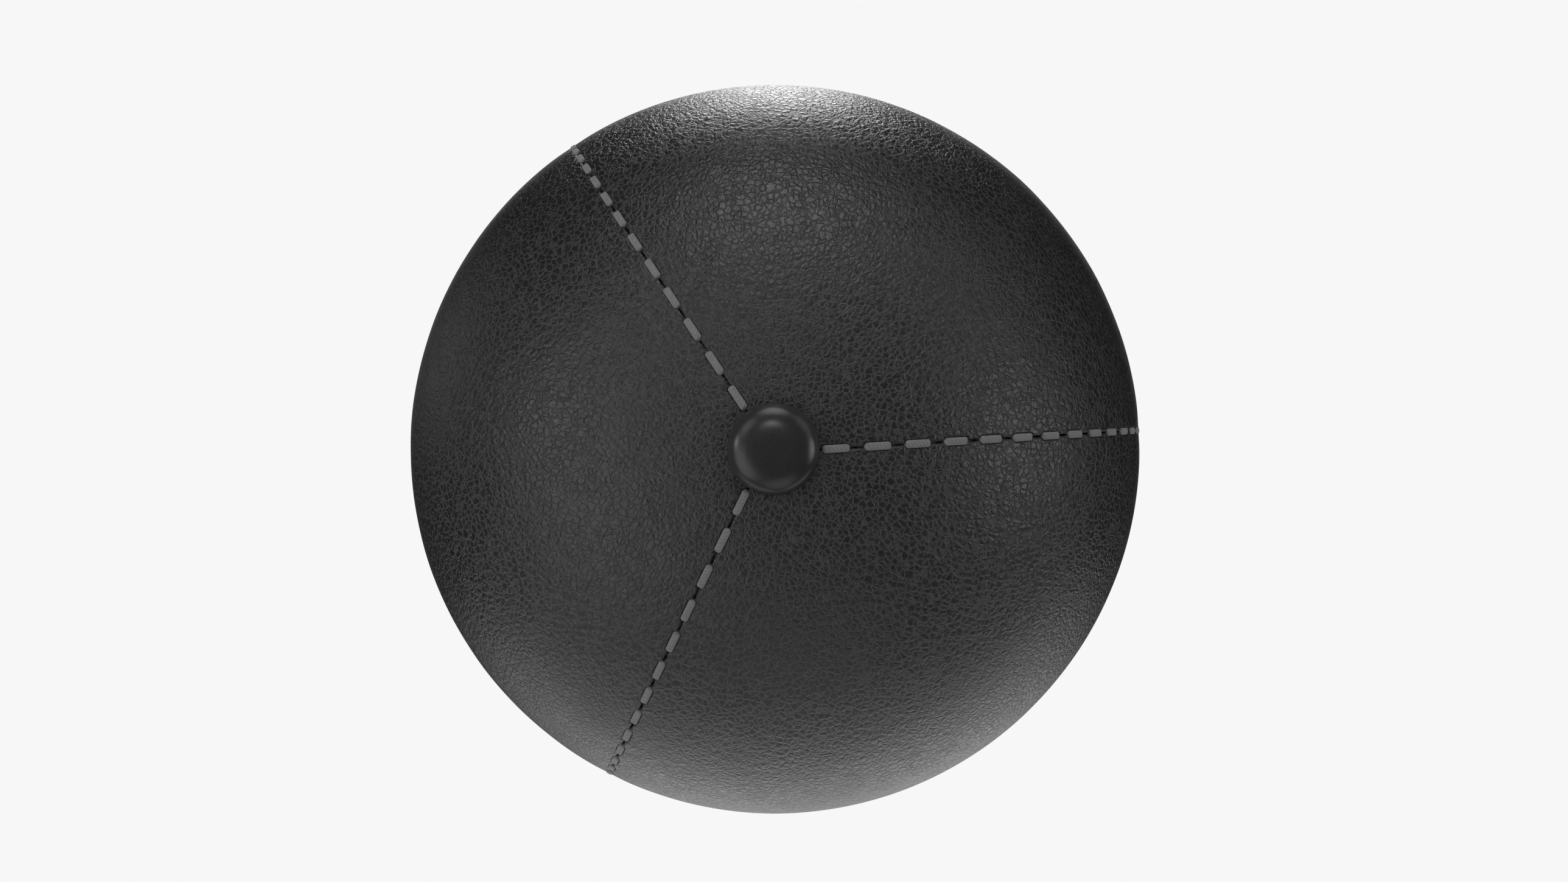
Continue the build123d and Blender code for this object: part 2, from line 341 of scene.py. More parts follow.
def fibrous(name, strand, colours, depth):
    """Matted fibres: crossing strands of several colours."""
    material, nodes, shader = new_material(name)
    coords = millimetres(nodes)
    swirl = nodes.noise(coords, 0.12 / strand, 2.0).outputs["Color"]
    bend = nodes.vector("SCALE", swirl, 9.0 * strand)
    layers = []
    for stretch in ((1, 0.12, 0.35), (0.12, 1, 0.35), (0.35, 0.12, 1)):
        drawn = nodes.vector("MULTIPLY", nodes.vector("ADD", coords, bend), stretch)
        layers.append(nodes.noise(drawn, 1 / strand, 3.0, 0.6).outputs[0])
    height = nodes.math("MAXIMUM", nodes.math("MAXIMUM", layers[0], layers[1]), layers[2])
    clumps = nodes.noise(coords, 0.1 / strand, 3.0).outputs[0]
    colour = nodes.mix(nodes.ramp(layers[0], 0.4, 0.6), colours[0], colours[1])
    colour = nodes.mix(nodes.ramp(layers[1], 0.55, 0.65), colour, colours[2])
    colour = nodes.mix(nodes.ramp(clumps, 0.4, 0.65, 0.0, 0.6), colour, colours[3])
    # Painted shade: the colour darkens towards black where the fibres lie low, between the strands.
    colour = nodes.mix(nodes.ramp(height, 0.4, 0.62), nodes.mix(0.7, colour, grey(0.02)), colour)
    link(nodes, colour, shader.inputs["Base Color"])
    bump = nodes.add("ShaderNodeBump", {"Height": height, "Strength": 1.0, "Distance": depth})
    link(nodes, bump.outputs[0], shader.inputs["Normal"])
    link(nodes, nodes.ramp(clumps, 0.3, 0.7, 0.85, 0.97), shader.inputs["Roughness"])
    shader.inputs["Sheen Weight"].default_value = 0.35
    return material


def webbing():
    """Ribs across the tape with a finer yarn along them."""
    material, nodes, shader = new_material("webbing_tape")
    coords = millimetres(nodes)
    along, about = round_the_ball(nodes, coords)
    rib = nodes.math("ABSOLUTE", nodes.math("SINE", nodes.math("MULTIPLY", along, pi / 0.9)))
    diagonal = nodes.math("ADD", about, nodes.math("MULTIPLY", along, 0.8))
    slant = nodes.math("SINE", nodes.math("MULTIPLY", diagonal, 4.5))
    fibres = nodes.noise(coords, 4.0, 3.0).outputs[0]
    height = nodes.math("MULTIPLY_ADD", slant, 0.15, nodes.math("MULTIPLY_ADD", fibres, 0.3, rib))
    bump = nodes.add("ShaderNodeBump", {"Height": height, "Strength": 0.8, "Distance": 0.25 * MM})
    link(nodes, bump.outputs[0], shader.inputs["Normal"])
    yarn = nodes.mix(fibres, (0.48, 0.44, 0.36, 1), (0.68, 0.64, 0.56, 1))
    # Painted shade: the colour darkens in the valleys between the ribs.
    colour = nodes.mix(nodes.ramp(rib, 0.0, 0.45), (0.24, 0.22, 0.18, 1), yarn)
    link(nodes, colour, shader.inputs["Base Color"])
    link(nodes, nodes.ramp(fibres, 0.3, 0.7, 0.78, 0.9), shader.inputs["Roughness"])
    return material


def sand_grains():
    material, nodes, shader = new_material("dry_sand")
    coords = millimetres(nodes)
    cells = nodes.add("ShaderNodeTexVoronoi", {"Vector": coords, "Scale": 1.6})
    pick = nodes.add("ShaderNodeSeparateXYZ", {0: cells.outputs["Color"]}).outputs
    colour = nodes.mix(pick[0], (0.36, 0.25, 0.13, 1), (0.62, 0.50, 0.33, 1))
    colour = nodes.mix(nodes.ramp(pick[1], 0.82, 0.9), colour, (0.12, 0.09, 0.07, 1))
    colour = nodes.mix(nodes.ramp(pick[2], 0.85, 0.93), colour, (0.80, 0.76, 0.68, 1))
    link(nodes, colour, shader.inputs["Base Color"])
    round_top = nodes.math("SUBTRACT", 1.0, cells.outputs["Distance"])
    bump = nodes.add("ShaderNodeBump", {"Height": round_top, "Strength": 1.0, "Distance": 0.3 * MM})
    link(nodes, bump.outputs[0], shader.inputs["Normal"])
    link(nodes, nodes.ramp(pick[2], 0.3, 0.9, 0.85, 0.45), shader.inputs["Roughness"])
    return material


def turned_metal(name, dark, light):
    """Metal with the fine rings of a turning tool about the Y axis, and a few dull spots."""
    material, nodes, shader = new_material(name)
    coords = millimetres(nodes)
    flat = nodes.vector("LENGTH", nodes.vector("MULTIPLY", coords, (1, 0, 1)))
    rings = nodes.noise(nodes.add("ShaderNodeCombineXYZ", {0: flat}).outputs[0], 9.0, 2.0).outputs[0]
    spots = nodes.noise(coords, 0.7, 3.0).outputs[0]
    link(nodes, nodes.mix(spots, dark, light), shader.inputs["Base Color"])
    dull = nodes.math("MULTIPLY_ADD", rings, 0.16, nodes.ramp(spots, 0.4, 0.65, 0.38, 0.22))
    link(nodes, dull, shader.inputs["Roughness"])
    bump = nodes.add("ShaderNodeBump", {"Height": rings, "Strength": 0.4, "Distance": 0.03 * MM})
    link(nodes, bump.outputs[0], shader.inputs["Normal"])
    shader.inputs["Metallic"].default_value = 1.0
    return material


def split_leather():
    """The brown flesh side of a hide: short matted fibres and darker patches."""
    material, nodes, shader = new_material("backing_leather")
    coords = millimetres(nodes)
    nap = nodes.noise(nodes.vector("MULTIPLY", coords, (1, 1, 0.3)), 3.0, 4.0, 0.65).outputs[0]
    patches = nodes.noise(coords, 0.2, 2.0).outputs[0]
    colour = nodes.mix(nap, (0.19, 0.10, 0.05, 1), (0.42, 0.27, 0.16, 1))
    colour = nodes.mix(nodes.ramp(patches, 0.4, 0.65, 0.0, 0.5), colour, (0.15, 0.08, 0.04, 1))
    link(nodes, colour, shader.inputs["Base Color"])
    bump = nodes.add("ShaderNodeBump", {"Height": nap, "Strength": 0.9, "Distance": 0.2 * MM})
    link(nodes, bump.outputs[0], shader.inputs["Normal"])
    link(nodes, nodes.ramp(nap, 0.3, 0.7, 0.92, 0.78), shader.inputs["Roughness"])
    return material


# ---- leather panels ----------------------------------------------------------------------------
ROWS_COARSE = 320
FINE_SPANS = np.array([0.0, 0.1, 0.25, 0.45, 0.65, 0.85, 1.05, 1.3, 1.6, 2.1, 2.8, 3.8]) * MM
WALL_DEPTHS = np.array([2.2, 1.6, 1.0, 0.55, 0.25]) * MM
MIDDLE_COLUMNS = 200
INNER_COLUMNS = 8
rng = np.random.default_rng(7)


def swell_wave():
    """A wave of the stuffed surface: its vector, phase and size."""
    vector = rng.normal(size=3) * 2 * pi / rng.uniform(30, 80) / MM
    phase = rng.uniform(0, 2 * pi)
    return vector, phase, rng.uniform(0.2, 1)


WAVES = [swell_wave() for _ in range(14)]


def unevenness(points):
    """Slow swells of the stuffed surface, about -1 to 1."""
    total = sum(a * np.cos(points @ k + phase) for k, phase, a in WAVES)
    return total / sqrt(sum(a * a for _, _, a in WAVES)) / 1.4


def seam_relief(along, across):
    """Height of the leather beside a seam, from the polar angle and the distance across it."""
    edge = -0.3 * MM * (1 - smoothstep(0.0, 0.45 * MM, across - SEAM_GAP / 2))
    step = radians(STITCH_PITCH)
    nearest = np.clip(np.round((along - radians(FIRST_STITCH)) / step), 0, STITCH_COUNT - 1)
    off = (along - radians(FIRST_STITCH) - nearest * step) * BALL
    half = STITCH_LENGTH / 2 - THREAD_WIDTH / 2
    from_thread = np.hypot(np.maximum(np.abs(off) - half, 0), across) - THREAD_WIDTH / 2
    dent = -0.5 * MM * (1 - smoothstep(-0.15 * MM, 0.3 * MM, from_thread))
    between = 0.5 + 0.5 * np.cos(2 * pi * off / (step * BALL))
    pull = -0.16 * MM * between * np.exp(-(across / (3.0 * MM)) ** 2)
    sunk = -0.12 * MM * np.exp(-(across / (5.0 * MM)) ** 2)
    return np.minimum(edge, dent) + pull + sunk


def pole_relief(polar):
    """The leather sinks a little round the caps."""
    radius = BALL * np.sin(polar)
    ring = np.exp(-(((radius - CAP_RADIUS) / (1.6 * MM)) ** 2))
    under = smoothstep(CAP_RADIUS, CAP_RADIUS - 2 * MM, radius)
    return -0.35 * MM * np.maximum(ring, under)


def panel_rows():
    """Polar angles of the fine rows, an even number of steps from hole to hole."""
    start = np.arcsin(POLE_HOLE / BALL)
    return np.linspace(start, pi - start, 2 * ROWS_COARSE + 1)


def panel_surface(first, last, rows, arc_positions):
    """Points of the panel's outer face at arc lengths from its first seam, one list for each row."""
    radius = BALL * np.sin(rows)[:, None]
    azimuth = first + arc_positions / radius
    polar = np.broadcast_to(rows[:, None], azimuth.shape)
    near_first = radius * np.sin(np.minimum(azimuth - first, pi / 2))
    near_last = radius * np.sin(np.minimum(last - azimuth, pi / 2))
    across = np.minimum(near_first, near_last)
    height = seam_relief(polar, across) + pole_relief(polar)
    bare = on_ball(polar, azimuth, BALL)
    height = height + 0.07 * MM * unevenness(bare)
    return on_ball(polar, azimuth, BALL + height)


def cover_panel(number):
    after = (number + 1) % 3
    rows = panel_rows()
    radius = BALL * np.sin(rows)[:, None]
    first = radians(SEAM_AZIMUTHS[number]) + seam_aside(number, rows)[:, None] / radius
    whole_turn = 360 if after == 0 else 0
    last = radians(SEAM_AZIMUTHS[after] + whole_turn) + seam_aside(after, rows)[:, None] / radius
    width = (last - first) * radius
    shrink = np.minimum(1, (width / 2 - SEAM_GAP) / (2 * FINE_SPANS[-1]))
    strip = SEAM_GAP / 2 + FINE_SPANS * shrink
    left = panel_surface(first, last, rows, strip)
    right = panel_surface(first, last, rows, width - strip[:, ::-1])
    inner_edge = strip[:, -1:]
    spread = np.linspace(0, 1, MIDDLE_COLUMNS + 1)
    middle_arcs = (inner_edge + (width - 2 * inner_edge) * spread)[::2]
    middle = panel_surface(first[::2], last[::2], rows[::2], middle_arcs)

    def wall(edge):
        """The turned edge of the leather, from its inside up to the groove's lip."""
        out = edge / np.linalg.norm(edge, axis=-1, keepdims=True)
        return np.stack([edge - out * depth for depth in WALL_DEPTHS], axis=1)

    points, faces = [], []

    def put(block):
        start = sum(len(p) for p in points)
        points.append(block.reshape(-1, 3))
        return start + np.arange(block.shape[0] * block.shape[1]).reshape(block.shape[:2])

    def grid(index):
        for i in range(index.shape[0] - 1):
            a, b = index[i], index[i + 1]
            faces.extend(zip(a[:-1].tolist(), a[1:].tolist(), b[1:].tolist(), b[:-1].tolist()))

    def stitch_up(fine, coarse, flip):
        """Joins a column of fine rows to a column with half as many."""
        for i in range(len(coarse) - 1):
            f0, f1, f2 = fine[2 * i], fine[2 * i + 1], fine[2 * i + 2]
            c0, c1 = coarse[i], coarse[i + 1]
            for face in ((f0, c0, f1), (c0, c1, f1), (f1, c1, f2)):
                faces.append(tuple(int(v) for v in (face[::-1] if flip else face)))

    left_index = put(np.concatenate([wall(left[:, 0]), left], axis=1))
    right_index = put(np.concatenate([right, wall(right[:, -1])[:, ::-1]], axis=1))
    middle_index = put(middle[:, 1:-1])
    grid(left_index)
    grid(right_index)
    grid(middle_index)
    stitch_up(left_index[:, -1], middle_index[:, 0], False)
    stitch_up(right_index[:, 0], middle_index[:, -1], True)

    inner_rows = rows[::2]
    share = np.linspace(0, 1, INNER_COLUMNS + 2)[1:-1]
    gap_angle = (SEAM_GAP / 2 / (BALL * np.sin(inner_rows)))[:, None]
    inner_azimuth = first[::2] + gap_angle + ((last - first)[::2] - 2 * gap_angle) * share
    inner_polar = np.broadcast_to(inner_rows[:, None], inner_azimuth.shape)
    inner_index = put(on_ball(inner_polar, inner_azimuth, BALL - LEATHER))
    grid(inner_index[:, ::-1])
    stitch_up(left_index[:, 0], inner_index[:, 0], True)
    stitch_up(right_index[:, -1], inner_index[:, -1], False)
    for end, flip in ((0, False), (-1, True)):
        outer = [*left_index[end], *middle_index[end], *right_index[end]]
        loop = [int(v) for v in [*outer, *inner_index[end][::-1]]]
        faces.append(tuple(loop[::-1] if flip else loop))

    piece = add_mesh(f"cover_panel_{number + 1}_leather", np.concatenate(points), faces)
    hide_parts(f"cover_panel_{number + 1}")
    return piece


# ---- threads -------------------------------------------------------------------------------------
SECTION = 32
PLY_LEAD = 4.2 * MM            # length of one turn of the twist
PLIES = 4
LEG_WIDTH = 1.3 * MM
LEG_THICKNESS = 0.9 * MM
TURN_RADIUS = 0.55 * MM        # of the thread's middle, where it dives through the leather
THREAD_PROUD = 0.12 * MM       # how far the stitches stand above the bare ball


def thread_path():
    """The running stitch in a seam's plane.

    Each step gives the polar angle, the depth, how far the thread points inwards
    (in radians), its width and its thickness."""
    half = STITCH_LENGTH / 2
    leg = half - LEG_THICKNESS / 2
    top = THREAD_THICKNESS / 2 - THREAD_PROUD
    bottom = THREAD_INNER - THREAD_THICKNESS / 2
    path = []

    def turn(angle, depth, side, inwards):
        """A quarter turn between a run and a leg."""
        for share in np.linspace(0, 1, 7) if inwards else np.linspace(1, 0, 7):
            bend = share * pi / 2
            along = leg - TURN_RADIUS * (1 - sin(bend))
            down = depth + TURN_RADIUS * (1 - cos(bend))
            width = THREAD_WIDTH + (LEG_WIDTH - THREAD_WIDTH) * share**2
            thickness = THREAD_THICKNESS + (LEG_THICKNESS - THREAD_THICKNESS) * share
            pointing = bend if inwards else -bend
            path.append((angle + side * along / BALL, down, pointing, width, thickness))

    for angle in np.radians(STITCH_ANGLES):
        turn(angle, top, -1, False)
        for along in np.linspace(-1, 1, 31)[1:-1] * (leg - TURN_RADIUS):
            path.append((angle + along / BALL, top, 0.0, THREAD_WIDTH, THREAD_THICKNESS))
        turn(angle, top, 1, True)
        if angle < radians(STITCH_ANGLES[-1]) - 1e-6:
            out = angle + leg / BALL
            back = angle + radians(STITCH_PITCH) - leg / BALL
            lowest = bottom - TURN_RADIUS
            path.append((out, lowest, pi / 2, LEG_WIDTH, LEG_THICKNESS))
            inset = TURN_RADIUS / BALL
            for step in np.linspace(out + inset, back - inset, 7):
                path.append((step, bottom, 0.0, THREAD_WIDTH * 0.8, THREAD_THICKNESS))
            path.append((back, lowest, -pi / 2, LEG_WIDTH, LEG_THICKNESS))
    return np.array(path)


def seam_thread(number):
    polar, depth, bend, width, thickness = thread_path().T
    azimuth = radians(SEAM_AZIMUTHS[number])
    outward = np.array([cos(azimuth), 0, sin(azimuth)])
    front = np.array([0, -1.0, 0])
    aside = np.cross(outward, front)
    radial = np.sin(polar)[:, None] * outward + np.cos(polar)[:, None] * front
    tangent = np.cos(polar)[:, None] * outward - np.sin(polar)[:, None] * front
    line = (BALL - depth)[:, None] * radial - seam_aside(number, polar)[:, None] * aside
    up = np.cos(bend)[:, None] * radial + np.sin(bend)[:, None] * tangent
    run = np.concatenate([[0], np.cumsum(np.linalg.norm(np.diff(line, axis=0), axis=1))])
    turn = np.linspace(0, 2 * pi, SECTION, endpoint=False)
    ply = ((turn[None, :] / (2 * pi) + run[:, None] / PLY_LEAD) * PLIES) % 1
    groove = np.exp(-(((ply - 0.5) / 0.17) ** 2))
    flat = np.sign(np.cos(turn)) * np.abs(np.cos(turn)) ** 0.8
    crown = np.sign(np.sin(turn)) * np.abs(np.sin(turn)) ** 0.8
    wide = width[:, None] / 2 * flat * (1 - 0.04 * groove)
    high = thickness[:, None] / 2 * crown * (1 - 0.13 * groove)
    rings = line[:, None, :] + wide[..., None] * aside + high[..., None] * up[:, None, :]
    index = np.arange(rings.shape[0] * SECTION).reshape(-1, SECTION)
    ahead = np.roll(index, -1, axis=1)
    quads = np.stack([index[:-1], index[1:], ahead[1:], ahead[:-1]], axis=-1).reshape(-1, 4)
    faces = [*map(tuple, quads.tolist()), tuple(index[0].tolist()), tuple(index[-1][::-1].tolist())]
    piece = add_mesh(f"seam_thread_{number + 1}_sewn", rings.reshape(-1, 3), faces)
    # The ply grooves are stored for the thread's painted shade.
    shade = piece.data.attributes.new("ply_groove_painted_shade", "FLOAT", "POINT")
    shade.data.foreach_set("value", groove.ravel())
    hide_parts(f"seam_thread_{number + 1}")
    return piece


# ---- caps ------------------------------------------------------------------------------------------
def cap_dome(name, side):
    """A lathe-turned dome that curves more and more towards its rim, with the inside closed off."""
    low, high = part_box(f"{name}_cap_dome")
    base, top = sorted((abs(low.y), abs(high.y)))
    tilt = pi / 2 * np.linspace(0.03, 1, 72) ** 2.5
    radius = CAP_RADIUS * np.sin(tilt) ** (1 / CAP_FLATNESS)
    slope = CAP_RADIUS / CAP_FLATNESS * np.sin(tilt) ** (1 / CAP_FLATNESS)
    drop = np.concatenate([[0], np.cumsum((slope[1:] + slope[:-1]) / 2 * np.diff(tilt))])
    crown = [(r, top - d) for r, d in zip(radius, drop) if top - d > base]
    inner = CAP_RADIUS - 1.2 * MM
    lip = base - 0.5 * MM
    rim = [(CAP_RADIUS, base - 0.25 * MM), (CAP_RADIUS - 0.3 * MM, lip), (inner, lip)]
    inside = [(inner, base + 1 * MM), (8 * MM, top - 2.4 * MM), (0.4 * MM, top - 1.3 * MM)]
    profile = crown + rim + inside
    turns = 128
    angles = np.linspace(0, 2 * pi, turns, endpoint=False)
    points = [(r * cos(a), side * s, r * sin(a)) for r, s in profile for a in angles]
    faces = []
    for i in range(len(profile) - 1):
        for j in range(turns):
            k = (j + 1) % turns
            face = (i * turns + j, i * turns + k, (i + 1) * turns + k, (i + 1) * turns + j)
            faces.append(face[::-1] if side > 0 else face)
    first = tuple(range(turns))
    last = tuple(range((len(profile) - 1) * turns, len(profile) * turns))
    faces.append(first if side > 0 else first[::-1])
    faces.append(last[::-1] if side > 0 else last)
    piece = add_mesh(f"{name}_cap_dome_turned", points, faces)
    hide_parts(f"{name}_cap_dome")
    return piece


# ---- inner layers --------------------------------------------------------------------------------------
FELT = 2.1 * MM
BAG_CLOTH = 0.6 * MM
BALLAST_CLOTH = 1.0 * MM
CAVITY_PLAY = 0.3 * MM         # between the sand bag and the stuffing
NECK_RADIUS = 4.8 * MM         # where the tie holds it
NECK_POCKET = 10.5 * MM        # room for the neck in the stuffing
TIE_RADIUS = 1.2 * MM


def lumps(seed, shortest, longest, count=24):
    """A smooth random field, about -1 to 1, with waves between two lengths."""
    draw = np.random.default_rng(seed)
    headings = draw.normal(size=(count, 3))
    headings /= np.linalg.norm(headings, axis=1, keepdims=True)
    vectors = headings * (2 * pi / draw.uniform(shortest, longest, (count, 1)))
    phases = draw.uniform(0, 2 * pi, count)
    return lambda points: np.cos(points @ vectors.T + phases).sum(axis=-1) / sqrt(2 * count)


def raised(value):
    """A field of -1 to 1 as a depth of 0 to 1."""
    return np.clip(0.5 + 0.5 * value, 0, 1)


def ring_mesh(name, rings, node, closed_ends):
    """Joins closed rings of points in order. The last ring meets the first unless the ends are closed."""
    count, around = rings.shape[:2]
    index = np.arange(count * around).reshape(count, around)
    following = index[1:] if closed_ends else np.roll(index, -1, axis=0)
    current = index[: len(following)]
    ahead, following_ahead = np.roll(current, -1, 1), np.roll(following, -1, 1)
    quads = np.stack([current, ahead, following_ahead, following], -1).reshape(-1, 4)
    faces = [tuple(q) for q in quads.tolist()]
    if closed_ends:
        faces += [tuple(index[0][::-1].tolist()), tuple(index[-1].tolist())]
    piece = add_mesh(name, rings.reshape(-1, 3), faces)
    bm = bmesh.new()
    bm.from_mesh(piece.data)
    bmesh.ops.recalc_face_normals(bm, faces=bm.faces)
    bm.to_mesh(piece.data)
    bm.free()
    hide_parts(node)
    return piece


def half_layer(node, suffix, side, outer, inner, hole, rows, around):
    """Half of a hollow layer. outer and inner give the radius at points of the bare surface."""
    low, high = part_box(node)
    radius = high.x
    halfway = min(abs(low.y), abs(high.y)) / radius
    start = np.arcsin(hole / radius)
    polar = np.linspace(start, pi / 2 - np.arcsin(halfway), rows)[:, None]
    azimuth = np.linspace(0, 2 * pi, around, endpoint=False)[None, :]
    facing = on_ball(polar if side < 0 else pi - polar, azimuth, 1.0)
    skin = outer(facing * radius)[..., None] * facing
    lining = inner(facing * radius)[..., None] * facing
    rings = np.concatenate([skin, lining[::-1]])
    return ring_mesh(f"{node}_{suffix}", rings, node, closed_ends=False)


def felt_half(name, side):
    node = f"felt_layer_{name}"
    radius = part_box(node)[1].x
    field = lumps(11 + side, 4 * MM, 14 * MM)
    return half_layer(
        node, "matted", side,
        lambda p: radius - 0.3 * MM * raised(field(p)),
        lambda p: radius - FELT + 0.3 * MM * raised(field(-p)),
        8 * MM, 110, 300,
    )


def bag_half(name, side):
    """Cotton with gathers that run from the seam at the middle towards the pole."""
    node = f"inner_bag_{name}"
    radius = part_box(node)[1].x
    field = lumps(21 + side, 15 * MM, 50 * MM)

    def sunk(p):
        azimuth = np.arctan2(p[..., 2], p[..., 0])
        fade = np.exp(-np.abs(p[..., 1]) / (22 * MM))
        gather = raised(np.cos(72 * azimuth + 5 * field(p))) * fade
        return 0.3 * MM * gather + 0.2 * MM * raised(field(p))

    return half_layer(
        node, "gathered", side,
        lambda p: radius - sunk(p), lambda p: radius - BAG_CLOTH - sunk(p), 0.5 * MM, 90, 432,
    )


def stuffing_half(name, side):
    """Packed fibre in clumps, with a pocket for the sand bag and, at the rear, for its neck."""
    node = f"stuffing_{name}"
    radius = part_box(node)[1].x
    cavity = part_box("ballast_bag_front")[1].x + CAVITY_PLAY
    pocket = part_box("ballast_bag_rear")[1].y + MM
    broad = lumps(31 + side, 14 * MM, 40 * MM)
    tufts = lumps(41 + side, 5 * MM, 11 * MM)

    def clumps(p):
        return raised(1.4 * broad(p)) * 1.6 * MM + np.abs(tufts(p)) * 1.2 * MM

    def hollow(p):
        aside = np.hypot(p[..., 0], p[..., 2]) * cavity / radius
        reach = np.where(p[..., 1] > 0, smoothstep(NECK_POCKET + 2 * MM, NECK_POCKET, aside), 0)
        return cavity + clumps(-p * 0.5) * 0.6 + (pocket - cavity) * reach

    return half_layer(
        node, "packed", side,
        lambda p: radius - 0.7 * MM - clumps(p), hollow, 0.5 * MM, 120, 320,
    )


def sand_bag_half(name, side):
    """A sewn half of the sand bag. The rear half runs into the tied neck, in pleats."""
    node = f"ballast_bag_{name}"
    low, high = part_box(node)
    radius = high.x
    reach = max(abs(low.y), abs(high.y))
    middle = min(abs(low.y), abs(high.y))
    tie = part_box("ballast_tie")
    tie_height = (tie[0].y + tie[1].y) / 2
    field = lumps(51 + side, 9 * MM, 26 * MM)
    polar = np.linspace(pi / 2 - np.arcsin(middle / radius), 0.16, 90)
    profile = [(radius * sin(a), radius * cos(a), 0.0) for a in polar]
    if side > 0:
        lip = reach - tie_height
        neck = [
            (6.4 * MM, radius - 0.2 * MM, 0.5), (5.4 * MM, radius + 2 * MM, 0.8),
            (NECK_RADIUS, tie_height, 0.7), (5.6 * MM, tie_height + lip * 0.3, 1.0),
            (7.2 * MM, tie_height + lip * 0.6, 1.4), (8.4 * MM, reach - 0.5 * MM, 1.6),
            (8.0 * MM, reach, 1.6), (6.0 * MM, reach - 1.2 * MM, 0.8),
            (2.0 * MM, reach - 3.0 * MM, 0.2),
        ]
        profile += neck
    else:
        profile += [(radius * sin(a), radius * cos(a), 0.0) for a in np.linspace(0.14, 0.01, 8)]
    profile = np.array(profile)
    azimuth = np.linspace(0, 2 * pi, 288, endpoint=False)
    near_neck = np.exp(-np.maximum(radius - profile[:, 1], 0) / (9 * MM))[:, None] * (side > 0)
    pleats = raised(np.cos(18 * azimuth))[None, :]
    aside = profile[:, :1] - 0.55 * MM * near_neck * pleats * np.maximum(profile[:, 2:], 0.8)
    skin = np.stack(
        [
            aside * np.cos(azimuth),
            side * profile[:, 1:2] * np.ones_like(aside),
            aside * np.sin(azimuth),
        ],
        -1,
    )
    facing = skin / np.linalg.norm(skin, axis=-1, keepdims=True)
    skin = skin - facing * (0.45 * MM * raised(field(skin)))[..., None]
    inside = np.linspace(0.1, pi / 2 - np.arcsin(middle / radius), 60)[:, None]
    inner_radius = radius - BALLAST_CLOTH
    lining = on_ball(inside if side < 0 else pi - inside, azimuth[None, :], inner_radius)
    lining = lining - lining / inner_radius * (0.45 * MM * raised(field(lining)))[..., None]
    rings = np.concatenate([lining, skin])
    return ring_mesh(f"{node}_sewn", rings, node, closed_ends=True)


def sand():
    """The sand, with folds of the same size as its bag's."""
    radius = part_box("ballast_sand")[1].x
    folds = lumps(61, 9 * MM, 26 * MM)
    grains = lumps(62, 1.5 * MM, 3 * MM, 40)
    polar = np.linspace(0.01, pi - 0.01, 200)[:, None]
    azimuth = np.linspace(0, 2 * pi, 400, endpoint=False)[None, :]
    bare = on_ball(polar, azimuth, radius)
    depth = 0.6 * MM + 0.25 * MM * raised(folds(bare)) + 0.15 * MM * raised(grains(bare))
    rings = bare * (1 - depth / radius)[..., None]
    return ring_mesh("ballast_sand_fill", rings, "ballast_sand", closed_ends=True)


def neck_tie():
    """A twisted cord pulled tight round the bag's neck."""
    low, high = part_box("ballast_tie")
    height = (low.y + high.y) / 2
    ring_radius = high.x - TIE_RADIUS
    strands, twists = 3, 16
    around = np.linspace(0, 2 * pi, 384, endpoint=False)[:, None]
    turn = np.linspace(0, 2 * pi, 30, endpoint=False)[None, :]
    ply = (strands * turn / (2 * pi) + twists * around / (2 * pi)) % 1
    thick = TIE_RADIUS * (1 - 0.22 * np.exp(-(((ply - 0.5) / 0.18) ** 2)))
    aside = ring_radius + thick * np.cos(turn)
    rings = np.stack(
        [aside * np.cos(around), height + thick * np.sin(turn), aside * np.sin(around)], -1
    )
    return ring_mesh("ballast_tie_twisted", rings, "ballast_tie", closed_ends=False)


leather = cover_leather()
thread = waxed_thread()
plastic = cap_plastic()
canvas = woven("lining_canvas", 0.9, (0.42, 0.36, 0.26, 1), (0.62, 0.56, 0.44, 1), 0.82)
cotton = woven("cotton_cloth", 0.5, (0.56, 0.52, 0.44, 1), (0.76, 0.73, 0.66, 1), 0.8)
sacking = woven("ballast_cloth", 1.3, (0.28, 0.22, 0.14, 1), (0.50, 0.42, 0.30, 1), 0.85)
FELT_COLOURS = (
    (0.24, 0.23, 0.22, 1), (0.44, 0.43, 0.40, 1), (0.14, 0.14, 0.14, 1), (0.36, 0.34, 0.31, 1),
)
RAG_COLOURS = (
    (0.34, 0.31, 0.27, 1), (0.62, 0.58, 0.50, 1), (0.18, 0.22, 0.30, 1), (0.48, 0.40, 0.32, 1),
)
felt_wool = fibrous("wool_felt", 0.35, FELT_COLOURS, 0.25 * MM)
rag_fibre = fibrous("fibre_stuffing", 0.9, RAG_COLOURS, 0.7 * MM)
CARRIED_OVER = {
    "panel_lining": canvas,
    "seam_tape": webbing(),
    "cap_stud": turned_metal("zinc_steel_turned", (0.50, 0.51, 0.53, 1), (0.68, 0.69, 0.70, 1)),
    "backing_disc": split_leather(),
    "clamp_washer": turned_metal("zinc_steel_rolled", (0.46, 0.47, 0.48, 1), (0.62, 0.63, 0.64, 1)),
    "rivet_burr": turned_metal("burr_brass", (0.46, 0.31, 0.12, 1), (0.78, 0.58, 0.27, 1)),
}
for node, cad_piece in frame["nodes"].items():
    for part, material in CARRIED_OVER.items():
        if part in node:
            for material_slot in cad_piece.material_slots:
                material_slot.material = material


def finish_piece(piece, material):
    piece.data.materials.append(material)
    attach(piece, BODY)
    return piece


